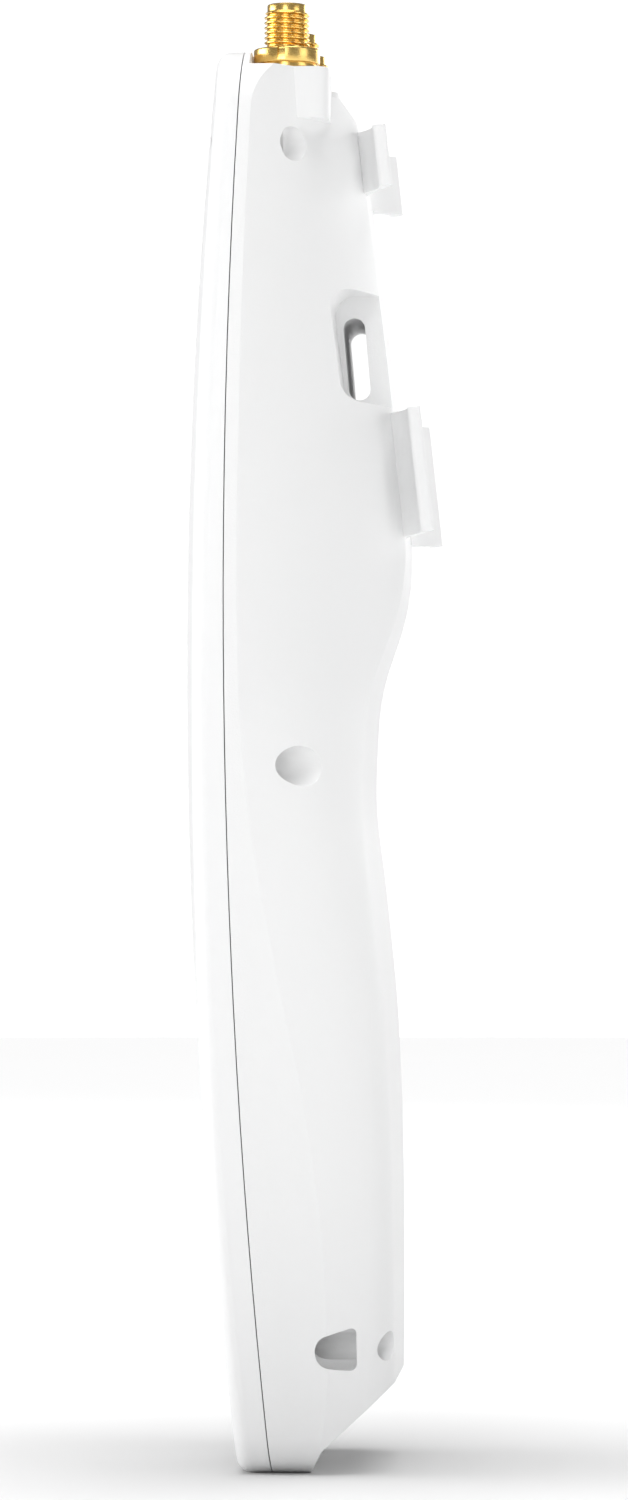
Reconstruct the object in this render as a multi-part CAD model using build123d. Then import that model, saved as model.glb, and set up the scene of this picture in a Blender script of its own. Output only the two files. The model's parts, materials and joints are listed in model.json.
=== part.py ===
"""Directional access-point antenna: a sealed case that stands on its foot, with three threaded
coaxial jacks on top and two pairs of rails on its back that carry an access point.

Frame: millimetres, +Z up, X across the case, Y through it. The radome faces -Y and the rails
face +Y. The origin is under the middle of the case, level with the bottom of the foot.
"""

import math
import os

from build123d import *

os.makedirs("parts", exist_ok=True)

# Case, overall
CASE_HEIGHT = 200.0
DECK_HEIGHT = CASE_HEIGHT - 2.3  # top face of the rear housing, which carries the jacks
WIDEST_HALF_WIDTH = 43.0
FOOT_HALF_WIDTH = WIDEST_HALF_WIDTH - 22.0
WIDEST_HEIGHT = 0.59 * CASE_HEIGHT
TOP_HALF_WIDTH = WIDEST_HALF_WIDTH - 4.5
FOOT_CORNER_RADIUS = 8.0
TOP_CORNER_RADIUS = 10.0
WALL = 2.2
SLOPE_WALL = 1.8
SEAM_GAP = 0.15

# Front face and seam, each as the Y of an arc at the foot, at the widest height and at the top
FRONT_Y = (-10.3, -17.6, -13.4)
SEAM_Y = (-5.0, -10.3, -8.0)
CROWN_RADIUS = 300.0
FRONT_EDGE_RADIUS = 2.2
FRONT_EDGE_BAND = 1.2  # edges more than this in front of the seam are rounded

# Back of the rear housing: share of the case height, half width of its flat back, its Y,
# corner radius, side bulge
BACK_STATIONS = (
    (-0.02, 15.0, 12.2, 6.0, 1.0),
    (0.07, 20.0, 12.4, 8.0, 2.2),
    (0.2, 25.0, 12.2, 8.5, 3.0),
    (0.31, 27.0, 11.4, 8.5, 3.2),
    (0.4, 26.5, 9.8, 8.0, 3.4),
    (0.485, 23.5, 8.1, 6.0, 3.4),
    (0.54, 19.5, 8.8, 4.0, 3.2),
    (0.58, 16.0, 10.4, 3.0, 3.0),
    (0.615, 13.6, 13.0, 2.4, 3.0),
    (0.645, 12.8, 13.8, 2.2, 3.0),
    (0.755, 12.5, 11.9, 2.0, 3.0),
    (0.905, 12.5, 8.2, 2.0, 3.0),
    (1.01, 12.5, 5.7, 2.0, 3.0),
)
SECTION_COUNT = 24
LEAST_CORNER = 0.6
LOFT_FRONT_Y = -16.0
SIDE_ALLOWANCE = 0.6  # the loft starts this much wider than the outline, which trims it

# Foot: the slope from the lower back down to the foot
FOOT_BACK_Y = 0.4
FOOT_RISE = (2.1, 3.3)
HEEL = (13.2, 13.6)

# Shoulder: the slope from the jack bosses down to the back plate, as Y and depth below the deck
SHOULDER = ((3.5, 1.7), (7.3, 6.1), (7.9, 10.7))

# Jacks
JACK_X = (-27.0, 0.0, 27.0)
JACK_NAMES = ("left", "middle", "right")
JACK_DROP = (0.0, 0.5, 0.0)
JACK_Y = -2.4
THREAD_RADIUS = 3.175
THREAD_PITCH = 0.7056
THREAD_DEPTH = 0.42
THREAD_TURNS = 7
THREAD_CREST = 0.14  # half width of a crest, as a share of the pitch
COLLAR_RADIUS = 2.75
COLLAR_LENGTH = 1.0
BARREL_LENGTH = 6.4
FLANGE_RADIUS = 4.65
FLANGE_HEIGHT = 2.1
FLANGE_LIP_RADIUS = 4.3
FLANGE_LIP_HEIGHT = 0.65
FLANGE_BEVEL = (0.75, 0.5)  # inward and down
FLANGE_LIFT = 0.3  # room for the seal between the deck and the flange
FLANGE_RELIEF = 0.2  # room around the flange in the rim of the case
KEY_WIDTH = 1.1
KEY_DEPTH = 0.9
KEY_HEIGHT = 1.3
KEY_OFFSET = 0.55  # the key sits this far in front of the axis
EDGE_BREAK = 0.25
NECK_RADIUS = 2.9
NECK_LENGTH = 8.0
NECK_CHAMFER = 0.4
BORE_RADIUS = 2.3
SOCKET_DEPTH = 4.6
DIELECTRIC_RADIUS = 1.9
DIELECTRIC_SEAT = 0.8  # height of its wider foot
DIELECTRIC_TOP = 1.6  # below the mouth of the barrel
PIN_RADIUS = 0.46
PIN_CHAMFER = 0.2
PIN_REACH = 0.6  # below the mouth of the barrel
NUT_FLATS = 8.0
NUT_HEIGHT = 2.2
WASHER_RADIUS = 4.1
WASHER_HEIGHT = 0.4
ORING_CORE = NECK_RADIUS + 1.1
ORING_WIRE = 0.34
BOSS_HALF_WIDTH = 6.0
BOSS_WALL = 1.3
BOSS_BACK_Y = 3.7
BOSS_FLOOR = DECK_HEIGHT - 7.2
BOSS_CORNER_RADIUS = 2.2
DECK_BACK_Y = 0.9  # back of the deck between two bosses
NOTCH_DEPTH = 1.5
RUN_CLEARANCE = 0.1

# Rails for the access point, drawn from the edge of the back plate
RAIL_LEAN = 6.3
RAIL_LIP_X = 20.4
RAIL_LIP_THICKNESS = 2.0
RAIL_REACH = 4.15
RAIL_ROOT_X = 8.6
RAIL_UNDER_X = 12.6
RAIL_SPANS = ((0.665, 17.6), (0.9105, 8.6))  # share of the case height, then length
RAIL_ROOT_DEPTH = 1.8
RAIL_EDGE_RADIUS = 0.6
RAIL_TIP_LENGTH = 1.4
RAIL_HOLLOW = (1.3, 0.9)  # how far the underside bows inward and back

# Strap slot through the back
SLOT_CENTRE = (6.8, 0.792 * CASE_HEIGHT)
SLOT_WIDTH = 3.1
SLOT_HEIGHT = 11.8
SLOT_LEAN = 5.0
POCKET_FLOOR_X = 12.4
POCKET_BOTTOM = SLOT_CENTRE[1] - 7.0
POCKET_TOP = SLOT_CENTRE[1] + 9.0
POCKET_FRONT_Y = 3.3
POCKET_LEAN = 0.13
POCKET_RADIUS = 3.0
POCKET_WALL = 1.8

FAR = 60.0  # half the length of cutters that run right through
OVERCUT = 1.0  # how far other cutters run past the material
TIGHT_GAP = 0.05
SNUG_GAP = 0.02

# Case screws: share of the case height, Y of the seat, inset of the axis from the outline
CASE_SCREWS = ((0.0915, -0.8, 5.9), (0.4985, -6.0, 5.1), (0.9335, -4.6, 6.3))
# Recess over each screw, open to the side: Y of its front and back ends, inset of its axis, radius,
# radius of its front corner
RECESSES = ((1.0, 7.3, 2.3, 3.3, 2.6), (-4.3, FAR, 5.1, 2.8, 1.0), (-2.9, FAR, 6.3, 2.4, 1.0))
RECESS_CORNER = 1.0  # where a recess is closed at the back
RECESS_WALL = 1.5
SEAT_THICKNESS = 2.0
SCREW_RADIUS = 1.1
SCREW_HEAD_RADIUS = 1.9
SCREW_HEAD_HEIGHT = 1.6
HEAD_BORE_RADIUS = SCREW_HEAD_RADIUS + 0.2
SCREW_SOCKET_RADIUS = 0.8
SCREW_SOCKET_DEPTH = 0.8
SCREW_ENGAGEMENT = 5.0
PILOT_SPARE = 1.0
POST_RADIUS = 2.4
SCREW_CLEARANCE = 0.15

# Perimeter seal
SEAL_INSET = 0.7
SEAL_WIDTH = 0.8
SEAL_HEIGHT = 0.8
SEAL_CLEARANCE = 0.03

# Radiating stack, by the Y of each layer, from back to front
REFLECTOR_BACK_Y = WALL - 5.6
REFLECTOR_THICKNESS = 1.0
REFLECTOR_HALF_WIDTH = WIDEST_HALF_WIDTH - 13.0
REFLECTOR_FOOT_HALF_WIDTH = REFLECTOR_HALF_WIDTH - 8.0
REFLECTOR_TAPER_TOP = 0.31 * CASE_HEIGHT
REFLECTOR_BOTTOM = 0.12 * CASE_HEIGHT
REFLECTOR_TOP = 0.9 * CASE_HEIGHT
REFLECTOR_LIP = 3.0
REFLECTOR_LIP_ENDS = (4.0, 6.0)  # from the taper to each lip, and from its top end to the sheet's
BOARD_GAP = 2.0
BOARD_THICKNESS = 0.8
BOARD_HALF_WIDTH = REFLECTOR_HALF_WIDTH - 3.0
BOARD_BOTTOM = 0.165 * CASE_HEIGHT
BOARD_TOP = 0.87 * CASE_HEIGHT
BOARD_CORNER = 2.0
COPPER_THICKNESS = 0.1
LOW_PLATE_SIDE = 0.23 * CASE_HEIGHT
LOW_PLATE_THICKNESS = 0.5
LOW_PLATE_GAP = 1.2
DISC_GAP = 1.2
DRIVEN_RADIUS = 10.5
DIRECTOR_RADIUS = 9.0
DISC_THICKNESS = 0.4
ELEMENT_HEIGHTS = tuple(share * CASE_HEIGHT for share in (0.29, 0.5, 0.71))
LOW_PLATE_HEIGHTS = (ELEMENT_HEIGHTS[0], ELEMENT_HEIGHTS[2])
LOW_PLATE_CHAMFER = 4.0
ELEMENT_X = (-13.5, 13.5)
RIVET_RADIUS = 1.2
RIVET_HEAD_RADIUS = 2.2
RIVET_HEAD_HEIGHT = 0.6
SLEEVE_RADIUS = 2.4
SLEEVE_CLEARANCE = 0.1
TRACK_WIDTH = 2.4
PAD_RADIUS = SLEEVE_RADIUS + 1.2
LANDING_REACH = 3.0  # copper above the end of a ferrule
BUS_DROP = 4.0  # track that joins the landings, below that end
PILLAR_INSET = 2.2  # from the edge of the board
PILLAR_X = (PILLAR_INSET - BOARD_HALF_WIDTH, BOARD_HALF_WIDTH - PILLAR_INSET)
PILLAR_HEIGHTS = tuple(share * CASE_HEIGHT for share in (0.23, 0.56, 0.8))
PILLAR_RADIUS = 2.6
BOARD_SCREW_RADIUS = 1.0
BOARD_SCREW_HEAD_RADIUS = 1.9
BOARD_SCREW_HEAD_HEIGHT = 1.1
BOARD_SCREW_GRIP = 5.0
BOARD_SCREW_SPARE = 0.6
SPACER_RADIUS = 2.4

# Coaxial pigtails from the jacks to the board
COAX_RADIUS = 0.9
COAX_END_HEIGHT = BOARD_TOP - 4.4
COAX_START_DEPTH = 4.5  # below the deck, inside the neck of the jack
COAX_DROP = 0.6  # straight stretch below the neck
COAX_STRAIGHT = 3.5  # straight stretch above the ferrule
COAX_TAIL = 1.5  # stretch below the ferrule
COAX_LANE_SHARE = 0.75  # a landing lies this share of its jack's distance from the middle
FERRULE_RADIUS = COAX_RADIUS + 0.35
FERRULE_LENGTH = 2.6


def arc_through(a, b, c):
    """Centre and radius of the circle through three points of a plane."""
    d = 2 * (a[0] * (b[1] - c[1]) + b[0] * (c[1] - a[1]) + c[0] * (a[1] - b[1]))
    squares = [p[0] ** 2 + p[1] ** 2 for p in (a, b, c)]
    u = (squares[0] * (b[1] - c[1]) + squares[1] * (c[1] - a[1]) + squares[2] * (a[1] - b[1])) / d
    v = (squares[0] * (c[0] - b[0]) + squares[1] * (a[0] - c[0]) + squares[2] * (b[0] - a[0])) / d
    return u, v, math.hypot(a[0] - u, a[1] - v)


def half_width(z):
    """Half width of the case outline at a height."""
    side = (FOOT_HALF_WIDTH, 0), (WIDEST_HALF_WIDTH, WIDEST_HEIGHT), (TOP_HALF_WIDTH, CASE_HEIGHT)
    u, v, radius = arc_through(*side)
    return u + math.sqrt(radius**2 - (z - v) ** 2)


def bow_y(levels, z):
    """Y at a height on the arc through its levels at the foot, the widest height and the top."""
    u, v, radius = arc_through(
        (levels[0], 0), (levels[1], WIDEST_HEIGHT), (levels[2], CASE_HEIGHT)
    )
    return u - math.sqrt(radius**2 - (z - v) ** 2)


def outline(inset=0.0, top=CASE_HEIGHT):
    """Face of the case outline, seen from the front, as a sketch on the XZ plane."""
    low, high = inset, top - inset
    middle = (low + high) / 2
    right = [(half_width(z) - inset, z) for z in (low, middle, high)]
    left = [(-x, z) for x, z in reversed(right)]
    edges = [
        Line(left[2], right[0]),
        ThreePointArc(*right),
        Line(right[2], left[0]),
        ThreePointArc(*left),
    ]
    face = make_face([Plane.XZ * e for e in edges])
    corners = face.vertices().sort_by(Axis.Z)
    face = fillet(corners[:2], FOOT_CORNER_RADIUS - inset)
    corners = face.vertices().sort_by(Axis.Z)
    return fillet(corners[-2:], TOP_CORNER_RADIUS - inset)


def outline_prism(inset=0.0, top=CASE_HEIGHT):
    return extrude(outline(inset, top), FAR, both=True)


def side_prism(*edges, half=FAR):
    """Solid across the case from edges given in Y and Z."""
    face = make_face([Plane.YZ * e for e in edges])
    return extrude(face, half, both=True)


def side_polygon(points, half=FAR):
    return side_prism(Polyline(*points, close=True), half=half)


def behind_bow(levels, shift=0.0):
    """Everything behind the bowed surface through the levels, shifted along Y."""
    ends = (-20.0, CASE_HEIGHT + 20.0)
    low, middle, high = [(bow_y(levels, z) + shift, z) for z in (ends[0], WIDEST_HEIGHT, ends[1])]
    return side_prism(
        ThreePointArc(low, middle, high),
        Polyline(high, (FAR, ends[1]), (FAR, ends[0]), low),
    )


def crowned_body(shift=0.0):
    """Everything behind the radome's front face, which is crowned both ways."""
    ends = (-20.0, CASE_HEIGHT + 20.0)
    low, middle, high = [(bow_y(FRONT_Y, z) + shift, z) for z in (ends[0], WIDEST_HEIGHT, ends[1])]
    axis_y = min(FRONT_Y) + CROWN_RADIUS
    back_y = 10.0
    face = make_face(
        [
            Plane.YZ * ThreePointArc(low, middle, high),
            Plane.YZ * Polyline(high, (back_y, ends[1]), (back_y, ends[0]), low),
        ]
    )
    sweep_angle = 24.0
    turned = face.rotate(Axis((0, axis_y, 0), (0, 0, 1)), -sweep_angle / 2)
    return revolve(turned, Axis((0, axis_y, 0), (0, 0, 1)), sweep_angle)


def back_shape(z):
    """Half width of the flat back, its Y, corner radius and side bulge at a height."""
    shares, *shapes = zip(*BACK_STATIONS)
    return [follow(shares, values, z / CASE_HEIGHT) for values in shapes]


def back_section(z, inset):
    """Cross section of the rear housing at one height."""
    flat, back, radius, bulge = back_shape(z)
    side = half_width(min(max(z, 0), CASE_HEIGHT)) + SIDE_ALLOWANCE - inset
    knee = (side, bow_y(SEAM_Y, z) + WALL / 2)
    corner = (flat - inset, back - inset)
    chord = (corner[0] - knee[0], corner[1] - knee[1])
    length = math.hypot(*chord)
    outward = (chord[1] / length * bulge, -chord[0] / length * bulge)
    crest = ((knee[0] + corner[0]) / 2 + outward[0], (knee[1] + corner[1]) / 2 + outward[1])
    mirror = [(-x, y) for x, y in (knee, crest, corner)]
    front = (side, LOFT_FRONT_Y)
    edges = [
        Polyline(mirror[0], (-front[0], front[1]), front, knee),
        ThreePointArc(knee, crest, corner),
        Line(corner, mirror[2]),
        ThreePointArc(mirror[2], mirror[1], mirror[0]),
    ]
    face = make_face(edges)
    corners = face.vertices().sort_by(Axis.Y)[-2:]
    face = fillet(corners, max(radius - inset, LEAST_CORNER))
    return Plane.XY.offset(z) * face


def monotone_slopes(xs, ys):
    """Slopes for a cubic through points that never overshoots them."""
    rises = [(b - a) / (v - u) for u, v, a, b in zip(xs, xs[1:], ys, ys[1:])]
    slopes = [rises[0]]
    for before, after in zip(rises, rises[1:]):
        turning = before * after <= 0
        slopes.append(0 if turning else 2 * before * after / (before + after))
    return [*slopes, rises[-1]]


def follow(xs, ys, x):
    """Value at x of the monotone cubic through the points."""
    slopes = monotone_slopes(xs, ys)
    i = max(k for k in range(len(xs) - 1) if k == 0 or xs[k] < x)
    span = xs[i + 1] - xs[i]
    t = (x - xs[i]) / span
    start = ys[i] * (2 * t**3 - 3 * t**2 + 1) + slopes[i] * span * (t**3 - 2 * t**2 + t)
    end = ys[i + 1] * (3 * t**2 - 2 * t**3) + slopes[i + 1] * span * (t**3 - t**2)
    return start + end


def back_loft(inset=0.0):
    """Smooth body of the rear housing through evenly spaced cross sections."""
    low, high = BACK_STATIONS[0][0], BACK_STATIONS[-1][0]
    step = (high - low) / (SECTION_COUNT - 1)
    shares = [min(low + i * step, high) for i in range(SECTION_COUNT)]
    return loft([back_section(share * CASE_HEIGHT, inset) for share in shares])


def foot_slope(inset=0.0):
    """Everything below the slope from the lower back to the foot."""
    heel = (HEEL[0] - inset, HEEL[1] + inset)
    rise = (FOOT_RISE[0] - inset, FOOT_RISE[1] + inset)
    start = (FOOT_BACK_Y - inset, inset)
    return side_polygon([start, rise, heel, (FAR, heel[1]), (FAR, -FAR), (start[0], -FAR)])


def shoulder(inset=0.0):
    """Everything above the slope from the bosses down to the back plate."""
    points = [(y - inset, DECK_HEIGHT - depth - inset) for y, depth in SHOULDER]
    return side_polygon([*points, (FAR, points[-1][1]), (FAR, FAR * 4), (points[0][0], FAR * 4)])


def deck_notch(inset=0.0):
    """Everything behind the deck, where it is open between two bosses."""
    floor = DECK_HEIGHT - SHOULDER[0][1] - NOTCH_DEPTH - inset
    return box_between((-FAR, DECK_BACK_Y - inset, floor), (FAR, FAR, DECK_HEIGHT + OVERCUT))


def cylinder_y(x, z, radius, y_front, y_back):
    """Cylinder along Y between two Y levels."""
    height = y_back - y_front
    return Pos(x, y_back, z) * Rot(90, 0, 0) * Cylinder(
        radius, height, align=(Align.CENTER, Align.CENTER, Align.MIN)
    )


def cylinder_z(x, y, radius, z_low, z_high):
    return Pos(x, y, z_low) * Cylinder(
        radius, z_high - z_low, align=(Align.CENTER, Align.CENTER, Align.MIN)
    )


def box_between(low, high):
    size = [b - a for a, b in zip(low, high)]
    return Pos(*low) * Box(*size, align=(Align.MIN, Align.MIN, Align.MIN))


def screw_places():
    """X, Z and seat Y of the six case screws."""
    return [
        (side * (half_width(share * CASE_HEIGHT) - inset), share * CASE_HEIGHT, seat)
        for share, seat, inset in CASE_SCREWS
        for side in (-1, 1)
    ]


def recesses(grown=0.0):
    """The recesses over the case screws, or the same grown by a wall."""
    shapes = []
    for (share, _, _), (front, back, inset, radius, corner) in zip(CASE_SCREWS, RECESSES):
        z = share * CASE_HEIGHT
        right = cylinder_y(half_width(z) - inset, z, radius + grown, front - grown, back + grown)
        rims = right.edges().filter_by(GeomType.CIRCLE).sort_by(Axis.Y)
        right = fillet(rims[0], corner + grown)
        if back < FAR:
            rims = right.edges().filter_by(GeomType.CIRCLE).sort_by(Axis.Y)
            right = fillet(rims[-1], RECESS_CORNER + grown)
        shapes += [right, mirror(right, Plane.YZ)]
    return shapes


def pillar_places():
    """X and Z of the pillars that carry the reflector and the board."""
    return [(x, z) for z in PILLAR_HEIGHTS for x in PILLAR_X]


def jack_places():
    """Name, X and the height of the deck under each jack."""
    return [
        (name, x, DECK_HEIGHT - drop) for name, x, drop in zip(JACK_NAMES, JACK_X, JACK_DROP)
    ]


def seal_ring(clearance=0.0):
    """Ring in the seam, clear of both sides of the wall."""
    inset = SEAL_INSET - clearance
    ring = outline_prism(inset) - outline_prism(inset + SEAL_WIDTH + 2 * clearance)
    half = SEAL_HEIGHT / 2 + clearance
    return (ring & behind_bow(SEAM_Y, -half)) - behind_bow(SEAM_Y, half)


def front_radome():
    outer = outline_prism() & crowned_body()
    outer -= behind_bow(SEAM_Y, -SEAM_GAP / 2)
    front_edges = [
        e for e in outer.edges() if e.center().Y < bow_y(SEAM_Y, e.center().Z) - FRONT_EDGE_BAND
    ]
    outer = fillet(front_edges, FRONT_EDGE_RADIUS)
    inner = outline_prism(WALL) & crowned_body(WALL)
    shell = outer - inner
    for x, z, seat in screw_places():
        post = cylinder_y(x, z, POST_RADIUS, -FAR, seat - SEAT_THICKNESS - SEAM_GAP)
        shell += post & outline_prism() & crowned_body(WALL / 2)
        pilot_end = seat - SEAT_THICKNESS - SCREW_ENGAGEMENT - PILOT_SPARE
        shell -= cylinder_y(x, z, SCREW_RADIUS + TIGHT_GAP, pilot_end, FAR)
    return shell - seal_ring(SEAL_CLEARANCE)


def boss_block(x, inset=0.0):
    """Block under one jack, rounded at the back."""
    half = BOSS_HALF_WIDTH - inset
    low = (x - half, FRONT_Y[2], BOSS_FLOOR + inset)
    block = box_between(low, (x + half, BOSS_BACK_Y - inset, DECK_HEIGHT - inset))
    corners = block.edges().filter_by(Axis.Z).group_by(Axis.Y)[-1]
    return fillet(corners, BOSS_CORNER_RADIUS - inset / 2)


def strap_slot():
    """Strap slot, through the back from side to side."""
    y, z = SLOT_CENTRE
    shape = SlotOverall(SLOT_HEIGHT, SLOT_WIDTH, rotation=90 + SLOT_LEAN)
    return extrude(Plane.YZ * Pos(y, z) * shape, FAR, both=True)


def slot_block():
    """Everything that stays solid around the strap slot and its pockets."""
    front = POCKET_FRONT_Y - POCKET_WALL
    low, high = POCKET_BOTTOM - POCKET_WALL, POCKET_TOP + POCKET_WALL
    return box_between((-FAR, front, low), (FAR, FAR, high))


def pockets():
    """Pockets that open the strap slot to both sides."""
    lean = POCKET_LEAN * (POCKET_TOP - POCKET_BOTTOM)
    points = [
        (POCKET_FRONT_Y + lean, POCKET_BOTTOM),
        (POCKET_FRONT_Y, POCKET_TOP),
        (FAR, POCKET_TOP),
        (FAR, POCKET_BOTTOM),
    ]
    face = make_face(Plane.YZ * Polyline(*points, close=True))
    face = fillet(face.vertices().sort_by(Axis.Y)[:2], POCKET_RADIUS)
    right = Pos(POCKET_FLOOR_X, 0, 0) * extrude(face, FAR, dir=(1, 0, 0))
    return right + mirror(right, Plane.YZ)


def rail(share, length):
    """One flared rail on the right edge of the back plate, square to the leaning plate."""
    middle = share * CASE_HEIGHT + length / 2
    plate_y = back_shape(middle)[1]
    lean = math.radians(RAIL_LEAN)
    plane = Plane(
        origin=(0, plate_y, middle), x_dir=(1, 0, 0), z_dir=(0, -math.sin(lean), math.cos(lean))
    )
    lip_low = RAIL_REACH - RAIL_LIP_THICKNESS
    root = (RAIL_ROOT_X, 0)
    tip = (RAIL_LIP_X - RAIL_TIP_LENGTH, RAIL_REACH)
    under = (RAIL_UNDER_X, -RAIL_ROOT_DEPTH)
    crest = (
        (RAIL_LIP_X + RAIL_UNDER_X) / 2 - RAIL_HOLLOW[0],
        (lip_low - RAIL_ROOT_DEPTH) / 2 + RAIL_HOLLOW[1],
    )
    edges = [
        Polyline(under, (root[0], -RAIL_ROOT_DEPTH), root),
        Spline(root, tip, tangents=((0.75, 0.12), (1, 0.42))),
        Polyline(tip, (RAIL_LIP_X, RAIL_REACH), (RAIL_LIP_X, lip_low)),
        ThreePointArc((RAIL_LIP_X, lip_low), crest, under),
    ]
    face = make_face(edges)
    lip = face.vertices().sort_by(Axis.X)[-2:]
    face = fillet(lip, RAIL_EDGE_RADIUS)
    return extrude(plane * face, length / 2 / math.cos(lean), both=True)


def rear_housing():
    behind = behind_bow(SEAM_Y, SEAM_GAP / 2)
    rim_back = JACK_Y - FLANGE_RADIUS - RUN_CLEARANCE
    above_deck = box_between((-FAR, rim_back, DECK_HEIGHT), (FAR, FAR, CASE_HEIGHT + OVERCUT))
    outer = back_loft() & outline_prism() & behind
    outer -= above_deck
    outer -= foot_slope()
    outer -= shoulder()
    outer -= deck_notch()
    limits = outline_prism() & behind
    for _, x, _ in jack_places():
        outer += boss_block(x) & limits
    for span in RAIL_SPANS:
        right = rail(*span)
        outer += right
        outer += mirror(right, Plane.YZ)
    outer -= pockets()

    hollow = back_loft(WALL) & outline_prism(WALL, DECK_HEIGHT)
    hollow -= foot_slope(SLOPE_WALL)
    hollow -= shoulder(SLOPE_WALL)
    hollow -= deck_notch(SLOPE_WALL)
    for _, x, _ in jack_places():
        hollow += boss_block(x, BOSS_WALL) & outline_prism(WALL, DECK_HEIGHT)
    hollow -= slot_block()
    for x, z, seat in screw_places():
        hollow -= cylinder_y(x, z, HEAD_BORE_RADIUS + RECESS_WALL, seat - SEAT_THICKNESS, FAR)
    for recess in recesses(RECESS_WALL):
        hollow -= recess
    for x, z in pillar_places():
        hollow -= cylinder_y(x, z, PILLAR_RADIUS, REFLECTOR_BACK_Y, FAR)
    shell = outer - hollow
    shell -= strap_slot()
    for x, z, seat in screw_places():
        shell -= cylinder_y(x, z, HEAD_BORE_RADIUS, seat, FAR)
        shell -= cylinder_y(x, z, SCREW_RADIUS + SCREW_CLEARANCE, -FAR, seat + OVERCUT)
    for recess in recesses():
        shell -= recess
    for x, z in pillar_places():
        depth = REFLECTOR_BACK_Y + BOARD_SCREW_GRIP
        shell -= cylinder_y(x, z, BOARD_SCREW_RADIUS + TIGHT_GAP, -FAR, depth)
    for _, x, deck in jack_places():
        above = CASE_HEIGHT + OVERCUT
        shell -= cylinder_z(x, JACK_Y, NECK_RADIUS + RUN_CLEARANCE, deck - NECK_LENGTH, above)
        shell -= cylinder_z(x, JACK_Y, FLANGE_RADIUS + FLANGE_RELIEF, deck, above)
    return shell - seal_ring(SEAL_CLEARANCE)


def case_screw(x, z, seat):
    """Pan-head screw that enters from behind, with a round drive recess."""
    head = cylinder_y(x, z, SCREW_HEAD_RADIUS, seat, seat + SCREW_HEAD_HEIGHT)
    rim = head.edges().filter_by(GeomType.CIRCLE).sort_by(Axis.Y)[-1]
    head = fillet(rim, SCREW_HEAD_HEIGHT / 2)
    head_top = seat + SCREW_HEAD_HEIGHT
    socket_floor = head_top - SCREW_SOCKET_DEPTH
    head -= cylinder_y(x, z, SCREW_SOCKET_RADIUS, socket_floor, head_top + OVERCUT)
    end = seat - SEAT_THICKNESS - SCREW_ENGAGEMENT
    return head + cylinder_y(x, z, SCREW_RADIUS, end, seat + RUN_CLEARANCE)


def jack_body(x, deck):
    """Gold jack: threaded barrel, flange with a key, and the threaded neck below the deck."""
    flange_low = deck + FLANGE_LIFT
    flange_top = flange_low + FLANGE_LIP_HEIGHT + FLANGE_HEIGHT
    mouth = flange_top + BARREL_LENGTH
    root = THREAD_RADIUS - THREAD_DEPTH
    points = [
        (BORE_RADIUS, mouth),
        (COLLAR_RADIUS - EDGE_BREAK, mouth),
        (COLLAR_RADIUS, mouth - EDGE_BREAK),
        (COLLAR_RADIUS, mouth - COLLAR_LENGTH),
    ]
    thread_top = mouth - COLLAR_LENGTH
    crest = THREAD_PITCH * THREAD_CREST
    flank = THREAD_PITCH / 2 - crest
    for turn in range(THREAD_TURNS):
        tooth = thread_top - turn * THREAD_PITCH
        points += [
            (root, tooth - SNUG_GAP),
            (THREAD_RADIUS, tooth - flank),
            (THREAD_RADIUS, tooth - flank - 2 * crest),
        ]
    thread_foot = thread_top - THREAD_TURNS * THREAD_PITCH
    lip_top = flange_low + FLANGE_LIP_HEIGHT
    points += [
        (root, thread_foot),
        (root, flange_top + EDGE_BREAK),
        (FLANGE_RADIUS - FLANGE_BEVEL[0], flange_top + EDGE_BREAK),
        (FLANGE_RADIUS, flange_top - FLANGE_BEVEL[1]),
        (FLANGE_RADIUS, lip_top + 3 * TIGHT_GAP),
        (FLANGE_LIP_RADIUS - EDGE_BREAK, lip_top + 2 * TIGHT_GAP),
        (FLANGE_LIP_RADIUS, lip_top - TIGHT_GAP),
        (FLANGE_LIP_RADIUS, flange_low),
        (NECK_RADIUS, flange_low),
        (NECK_RADIUS, flange_low - NECK_LENGTH + NECK_CHAMFER),
        (NECK_RADIUS - NECK_CHAMFER, flange_low - NECK_LENGTH),
        (COAX_RADIUS + RUN_CLEARANCE, flange_low - NECK_LENGTH),
        (COAX_RADIUS + RUN_CLEARANCE, mouth - SOCKET_DEPTH),
        (BORE_RADIUS, mouth - SOCKET_DEPTH),
    ]
    profile = make_face(Plane.XZ * Polyline(*points, close=True))
    body = Pos(x, JACK_Y, 0) * revolve(profile, Axis.Z)
    key_low = flange_top - KEY_HEIGHT
    key_y = JACK_Y - KEY_OFFSET
    key = box_between(
        (x + FLANGE_RADIUS - KEY_DEPTH, key_y - KEY_WIDTH / 2, key_low),
        (x + FLANGE_RADIUS + OVERCUT, key_y + KEY_WIDTH / 2, flange_top + OVERCUT),
    )
    return body - key


def jack_mouth(deck):
    """Height of the open end of a jack."""
    return deck + FLANGE_LIFT + FLANGE_LIP_HEIGHT + FLANGE_HEIGHT + BARREL_LENGTH


def jack_dielectric(x, deck):
    mouth = jack_mouth(deck)
    low = mouth - SOCKET_DEPTH + RUN_CLEARANCE
    sleeve = cylinder_z(x, JACK_Y, DIELECTRIC_RADIUS, low, mouth - DIELECTRIC_TOP)
    seat = cylinder_z(x, JACK_Y, BORE_RADIUS - SNUG_GAP, low, low + DIELECTRIC_SEAT)
    return sleeve + seat - cylinder_z(x, JACK_Y, PIN_RADIUS + SNUG_GAP, low - OVERCUT, mouth)


def jack_pin(x, deck):
    mouth = jack_mouth(deck)
    low = mouth - SOCKET_DEPTH + RUN_CLEARANCE
    pin = cylinder_z(x, JACK_Y, PIN_RADIUS, low, mouth - PIN_REACH)
    return chamfer(pin.edges().sort_by(Axis.Z)[-1], PIN_CHAMFER)


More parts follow.
